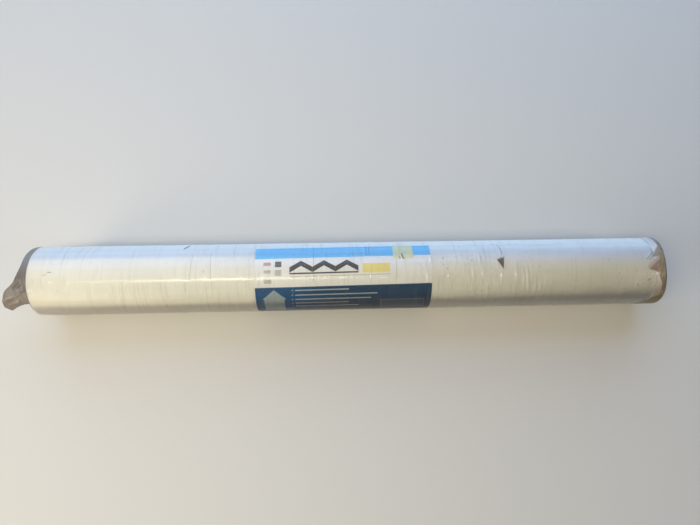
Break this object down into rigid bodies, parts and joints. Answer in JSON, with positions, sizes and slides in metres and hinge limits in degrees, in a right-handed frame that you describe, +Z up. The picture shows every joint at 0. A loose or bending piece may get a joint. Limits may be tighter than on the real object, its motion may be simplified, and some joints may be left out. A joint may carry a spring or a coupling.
{
  "type": "roll of roofing underlay",
  "caption": "Roll of white roofing underlay lying on its side in a clear film wrap, with a printed paper sheet under the film, one end gathered and the other torn open.",
  "frame": {"origin": "middle of the roll's bore, on its axis; the floor that the roll lies on is at Z = -0.085 m", "axes": "+X along the roll to the end where the film is gathered, +Y to the back, +Z up"},
  "size_m": [1.5882, 0.17, 0.17],
  "materials": {
    "membrane": "white nonwoven underlay, matte with a faint sheen",
    "label_paper": "smooth printed paper in bands of light blue, white and dark blue",
    "film": "clear glossy polyethylene film, wrinkled"
  },
  "bodies": {
    "root": {"membrane_roll": "membrane", "label_sheet": "label_paper", "wrap_film": "film"}
  },
  "joints": []
}
